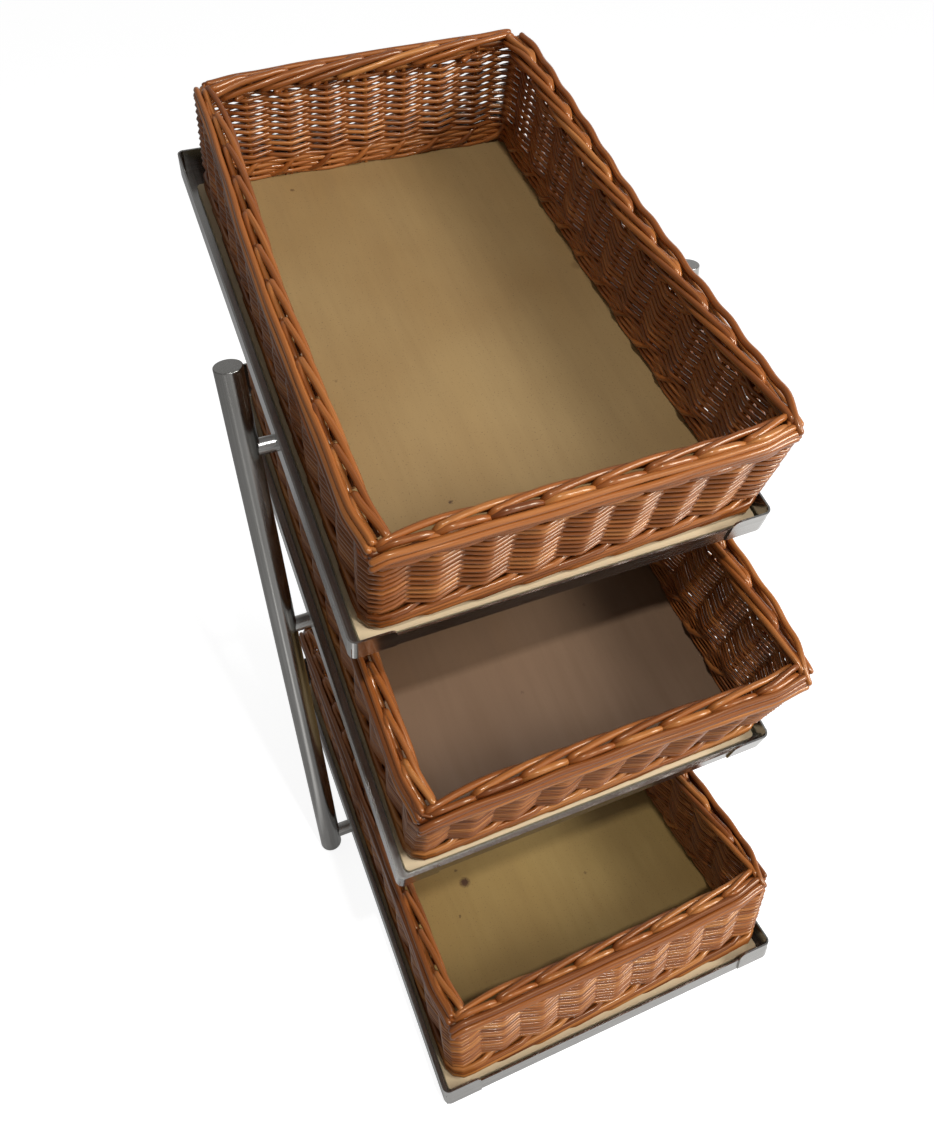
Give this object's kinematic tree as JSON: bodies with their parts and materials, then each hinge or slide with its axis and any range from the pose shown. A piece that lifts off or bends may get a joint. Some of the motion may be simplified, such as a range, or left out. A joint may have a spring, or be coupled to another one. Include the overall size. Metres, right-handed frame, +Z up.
{
  "type": "bread basket stand",
  "caption": "Counter stand for bread: willow baskets with plywood bottoms lie in folded stainless trays between round posts, the upper trays sloping to the front.",
  "frame": {"origin": "on the counter, at the bottom centre of the stand's bounding box", "axes": "+X across to the customer's right, +Y from the front edge to the back, +Z up"},
  "size_m": [0.405, 0.6284, 0.7351],
  "materials": {
    "stainless": "brushed",
    "plywood": "raw sanded plywood",
    "willow": "boiled willow, satin",
    "rubber": "matte"
  },
  "bodies": {
    "stand": {"left_post": "stainless", "left_post_cap": "stainless", "left_post_plug": "stainless", "top_left_standoff": "stainless", "middle_left_standoff": "stainless", "bottom_left_standoff": "stainless", "right_post": "stainless", "right_post_cap": "stainless", "right_post_plug": "stainless", "top_right_standoff": "stainless", "middle_right_standoff": "stainless", "bottom_right_standoff": "stainless", "top_tray": "stainless", "middle_tray": "stainless", "bottom_tray": "stainless", "front_left_foot": "rubber", "front_right_foot": "rubber", "back_left_foot": "rubber", "back_right_foot": "rubber"},
    "top_basket": {"top_basket_board": "plywood", "top_basket_wale": "willow", "top_basket_wall": "willow", "top_basket_border": "willow"},
    "middle_basket": {"middle_basket_board": "plywood", "middle_basket_wale": "willow", "middle_basket_wall": "willow", "middle_basket_border": "willow"},
    "bottom_basket": {"bottom_basket_board": "plywood", "bottom_basket_wale": "willow", "bottom_basket_wall": "willow", "bottom_basket_border": "willow"}
  },
  "joints": [
    {"name": "top_basket_lift", "type": "slide", "parent": "stand", "child": "top_basket", "axis": [0, -0.3338, 0.9426], "range_m": [0, 0.2]},
    {"name": "middle_basket_lift", "type": "slide", "parent": "stand", "child": "middle_basket", "axis": [0, -0.3338, 0.9426], "range_m": [0, 0.05]},
    {"name": "bottom_basket_lift", "type": "slide", "parent": "stand", "child": "bottom_basket", "axis": [0, 0, 1], "range_m": [0, 0.125]}
  ]
}
